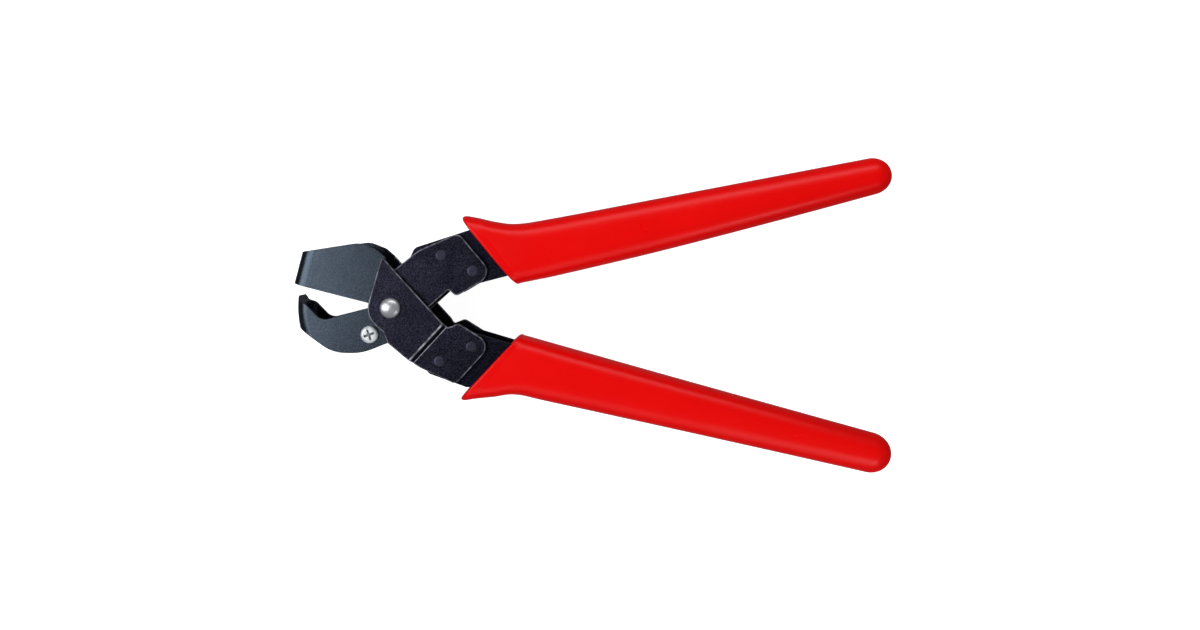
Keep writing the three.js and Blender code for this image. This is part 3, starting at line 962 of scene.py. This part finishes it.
def pivot():
    """The pivot pin: a dome at the front, and a low head with a flat face at the rear."""
    dome = []
    steps = 16
    for i in range(steps):
        turn = i / steps * math.pi / 2
        dome.append((PIVOT_HEAD_RADIUS * math.cos(turn), HEAD_IN + HEAD_HEIGHT * math.sin(turn)))
    rear = -HEAD_IN - HEAD_HEIGHT
    profile = [
        (0, rear),
        (PIVOT_FLAT_RADIUS - 0.25, rear),
        (PIVOT_FLAT_RADIUS, rear + 0.08),
        (PIVOT_FLAT_RADIUS + 0.5, rear + 0.4),
        (PIVOT_HEAD_RADIUS, -HEAD_IN - HEAD_HEIGHT / 2),
        (PIVOT_HEAD_RADIUS, -HEAD_IN),
        (PIVOT_RADIUS, -HEAD_IN),
        (PIVOT_RADIUS, HEAD_IN),
        (PIVOT_HEAD_RADIUS - 0.15, HEAD_IN),
        *dome,
        (0, MIDDLE_Z),
    ]
    return lathe(profile)


def sleeve(outer, inner, at):
    """A spacer tube between the jaw's walls, with eased rims."""
    half = PUNCH_IN - GAP
    ease = 0.25
    tube = lathe(
        [
            (0, -half),
            (outer - ease, -half),
            (outer, -half + ease),
            (outer, half - ease),
            (outer - ease, half),
            (0, half),
        ],
        at,
    )
    return cut(tube, rod(inner, -half - 1, half + 1, at))


def cross_bars(top):
    """The two bars that cut the cross recess into the screw's head."""
    long, wide = CROSS_HALF
    corners = [(x, y, CROSS_CORNER) for x, y in ((-long, -wide), (long, -wide), (long, wide), (-long, wide))]
    bars = []
    for turn in CROSS_TURNS:
        bar = prism(rounded(corners), -CROSS_DEPTH, CROSS_DEPTH)
        bar.transform(Matrix.Translation((*SCREW_AT, top)) @ Matrix.Rotation(math.radians(turn), 4, "Z"))
        bars.append(bar)
    return bars


def thread_profile(end):
    """Ridges along the end of the screw, as (radius, z)."""
    root = SCREW_RADIUS - THREAD_DEPTH
    profile = []
    for i in range(THREAD_TURNS):
        z = -end + THREAD_PITCH / 2 + i * THREAD_PITCH
        profile.append((root, z))
        profile.append((SCREW_RADIUS, z + THREAD_PITCH * 0.4))
        profile.append((SCREW_RADIUS, z + THREAD_PITCH * 0.6))
    return profile


def head_profile(top):
    """The head's rounded shoulder, as (radius, z)."""
    steps = 8
    shoulder = 1.3
    profile = []
    for i in range(steps + 1):
        turn = i / steps * math.pi / 2
        across = SCREW_HEAD_RADIUS * (0.62 + 0.38 * math.cos(turn))
        profile.append((across, top - shoulder + shoulder * math.sin(turn)))
    return profile


def screw():
    """A pan-headed screw. The recess in its head takes the second material, a painted shade."""
    under = PUNCH_OUT + GAP
    top = under + SCREW_HEAD_HEIGHT
    end = under + NUT_HEIGHT + SCREW_PAST_NUT
    profile = [
        (0, -end),
        (SCREW_RADIUS - 0.4, -end),
        *thread_profile(end),
        (SCREW_RADIUS, under),
        (SCREW_HEAD_RADIUS, under),
        *head_profile(top),
        (0, top),
    ]
    mesh = softened(cut(lathe(profile, SCREW_AT), *cross_bars(top)), 0.1, angle=50)
    # Faces deep in the cross recess take the painted shade.
    for face in mesh.polygons:
        off = (face.center.xy - Vector(SCREW_AT)).length
        if off < CROSS_HALF[0] and face.center.z < top - 0.25:
            face.material_index = 1
    return mesh


def nut():
    """A hexagon with its corners turned down at both faces."""
    to = -PUNCH_OUT - GAP
    low = to - NUT_HEIGHT
    corners = []
    for i in range(6):
        angle = math.tau * i / 6
        x = SCREW_AT[0] + NUT_RADIUS * math.cos(angle)
        y = SCREW_AT[1] + NUT_RADIUS * math.sin(angle)
        corners.append((x, y))
    ease = 0.45
    envelope = lathe(
        [
            (0, low),
            (NUT_RADIUS - 1.7 * ease, low),
            (NUT_RADIUS + 0.02, low + ease),
            (NUT_RADIUS + 0.02, to - ease),
            (NUT_RADIUS - 1.7 * ease, to),
            (0, to),
        ],
        SCREW_AT,
    )
    hexagon = shared(prism(corners, low - 1, to + 1), envelope)
    bore = rod(SCREW_RADIUS + 0.05, low - 2, to + 2, SCREW_AT)
    return softened(cut(hexagon, bore), 0.12, angle=35)


def add_fasteners():
    finish("pivot_pin", pivot(), "lower_lever", "bright_steel", [PIVOT_STEEL], "pivot_rivet")
    pivot_tube = sleeve(SLEEVE_RADIUS, PIVOT_RADIUS + GAP, (0, 0))
    finish("pivot_tube", pivot_tube, "lower_lever", "bright_steel", [PIVOT_STEEL], "pivot_sleeve")
    screw_tube = sleeve(SCREW_SLEEVE_RADIUS, SCREW_RADIUS + GAP, SCREW_AT)
    finish("screw_tube", screw_tube, "upper_lever", "bright_steel", [SCREW_ZINC], "screw_sleeve")
    finish("cross_screw", screw(), "upper_lever", "zinc_steel", [SCREW_ZINC, RECESS_SHADE], "jaw_screw")
    finish("hex_nut", nut(), "upper_lever", "zinc_steel", [SCREW_ZINC], "jaw_nut")


# ------------------------------------------------------------------ return spring, by Geometry Nodes


def wire_tree():
    """Sweeps a round wire along the edges of a mesh."""
    sockets = [("Wire Radius", "NodeSocketFloat"), ("Material", "NodeSocketMaterial")]
    tree, keys = new_tree("wire_on_path", sockets)
    given = tree.nodes.new("NodeGroupInput").outputs
    path = node(tree, "GeometryNodeMeshToCurve", Mesh=given["Geometry"]).outputs[0]
    circle = node(tree, "GeometryNodeCurvePrimitiveCircle", Resolution=16, Radius=given["Wire Radius"])
    wire = tree.nodes.new("GeometryNodeCurveToMesh")
    tree.links.new(path, wire.inputs["Curve"])
    tree.links.new(circle.outputs[0], wire.inputs["Profile Curve"])
    wire.inputs["Fill Caps"].default_value = True
    real = node(tree, "GeometryNodeRealizeInstances", Geometry=wire.outputs[0])
    painted = node(tree, "GeometryNodeSetMaterial", Geometry=real.outputs[0], Material=given["Material"])
    out = tree.nodes.new("NodeGroupOutput")
    tree.links.new(painted.outputs[0], out.inputs[0])
    return tree, keys


def tangent_angle(tip, arriving):
    """Angle of the point where a straight leg from a tip meets the coil, wound clockwise."""
    offset = math.acos(SPRING_RADIUS / math.hypot(*tip))
    return math.atan2(tip[1], tip[0]) + (-offset if arriving else offset)


def spring_path():
    """Points of the spring's wire from one leg's tip to the other's, and the height of its coil."""
    start = tangent_angle(SPRING_ARM_TIP, True)
    stop = tangent_angle(SPRING_SCREW_TIP, False)
    sweep = SPRING_TURNS * math.tau + (start - stop) % math.tau
    rise = sweep / math.tau * SPRING_PITCH
    steps = round(sweep / math.tau * SPRING_STEPS)
    points = [(*SPRING_ARM_TIP, -rise / 2)]
    for i in range(steps + 1):
        turn = start - i / steps * sweep
        height = -rise / 2 + i / steps * rise
        points.append((SPRING_RADIUS * math.cos(turn), SPRING_RADIUS * math.sin(turn), height))
    points.append((*SPRING_SCREW_TIP, rise / 2))
    return points, rise


def add_spring():
    """The return spring, a wire swept along a coil about the pivot between its two legs."""
    points, rise = spring_path()
    path = bpy.data.meshes.new("spring_path")
    path.from_pydata(points, [(i, i + 1) for i in range(len(points) - 1)], [])
    tree, keys = wire_tree()
    mesh = grown(path, tree, keys, {"Wire Radius": WIRE_RADIUS, "Material": WIRE})
    mesh.materials.clear()
    mesh.materials.append(WIRE)
    spring = object_of(to_frame(shade(mesh, 50)), "torsion_spring")
    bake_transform(spring)
    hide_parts("return_spring")


# ------------------------------------------------------------------ studio


def add_floor():
    """A pale floor that sweeps up into a wall all round."""
    bm = bmesh.new()
    sides = 96
    wall = 3.0
    bend = 1.2
    profile = [(0.4, 0), (wall - bend, 0)]
    for i in range(1, 13):
        turn = i / 12 * math.pi / 2
        profile.append((wall - bend + bend * math.sin(turn), bend - bend * math.cos(turn)))
    profile.append((wall, 4.0))
    level = -0.0008
    rows = []
    for radius, height in profile:
        row = []
        for i in range(sides):
            angle = math.tau * i / sides
            row.append(bm.verts.new((radius * math.cos(angle), radius * math.sin(angle), level + height)))
        rows.append(row)
    bm.faces.new(rows[0])
    for low, high in zip(rows, rows[1:]):
        for i in range(sides):
            j = (i + 1) % sides
            bm.faces.new((low[i], low[j], high[j], high[i]))
    mesh = mesh_of(bm)
    mesh.flip_normals()
    material = bpy.data.materials.new("pale_floor")
    material.use_nodes = True
    shader = material.node_tree.nodes["Principled BSDF"]
    shader.inputs["Base Color"].default_value = (0.5, 0.5, 0.5, 1)
    shader.inputs["Roughness"].default_value = 0.9
    shader.inputs["Specular IOR Level"].default_value = 0.0
    shader.inputs["Emission Color"].default_value = (1, 1, 1, 1)
    shader.inputs["Emission Strength"].default_value = 0.97
    mesh.materials.append(material)
    mesh.shade_smooth()
    floor = object_of(mesh, "studio_floor")
    floor.visible_glossy = False
    floor.visible_diffuse = False
    floor.visible_shadow = False


def add_light(name, place, target, size, radiance, mirrored_too=True):
    """A soft rectangular lamp at a place, facing a target, in millimetres.

    A lamp that isn't mirrored only fills the shadows: no gloss shows it."""
    data = bpy.data.lights.new(name, "AREA")
    data.shape = "RECTANGLE"
    data.size = size[0] * MM
    data.size_y = size[1] * MM
    data.energy = radiance * math.pi * data.size * data.size_y
    lamp = bpy.data.objects.new(name, data)
    bpy.context.scene.collection.objects.link(lamp)
    lamp.location = Vector(place) * MM
    way = (Vector(target) - Vector(place)).normalized()
    lamp.rotation_euler = way.to_track_quat("-Z", "Y").to_euler()
    lamp.visible_glossy = mirrored_too


def add_lights():
    add_light("left_softbox", (-334, 20, 419), (-20, 0, 17), (260, 450), 3.0)
    add_light("upper_strip", (110, 400, 330), (110, 0, 17), (560, 130), 1.7)
    add_light("low_right", (330, -290, 300), (60, -20, 17), (120, 90), 4)
    for name, side in (("upper_fill", 1), ("lower_fill", -1)):
        add_light(name, (110, side * 520, 420), (110, 0, 17), (700, 400), 3.1, False)
    world = bpy.data.worlds.new("studio_world")
    world.use_nodes = True
    background = world.node_tree.nodes["Background"]
    background.inputs["Color"].default_value = (0.9, 0.93, 1, 1)
    background.inputs["Strength"].default_value = 0.1
    bpy.context.scene.world = world


def add_camera():
    data = bpy.data.cameras.new("camera")
    data.lens = 33.87
    data.sensor_width = 36
    data.shift_y = -88 / 1200
    camera = bpy.data.objects.new("camera", data)
    bpy.context.scene.collection.objects.link(camera)
    camera.location = Vector((85.93, 34.93, 480 + MIDDLE_Z)) * MM
    camera.rotation_euler = (0, 0, math.radians(1))
    bpy.context.scene.camera = camera


bpy.context.scene.view_settings.view_transform = "Standard"
add_camera()
add_lights()
add_floor()
add_cheeks()
add_jaws()
add_handles()
add_rivets()
add_fasteners()
add_spring()
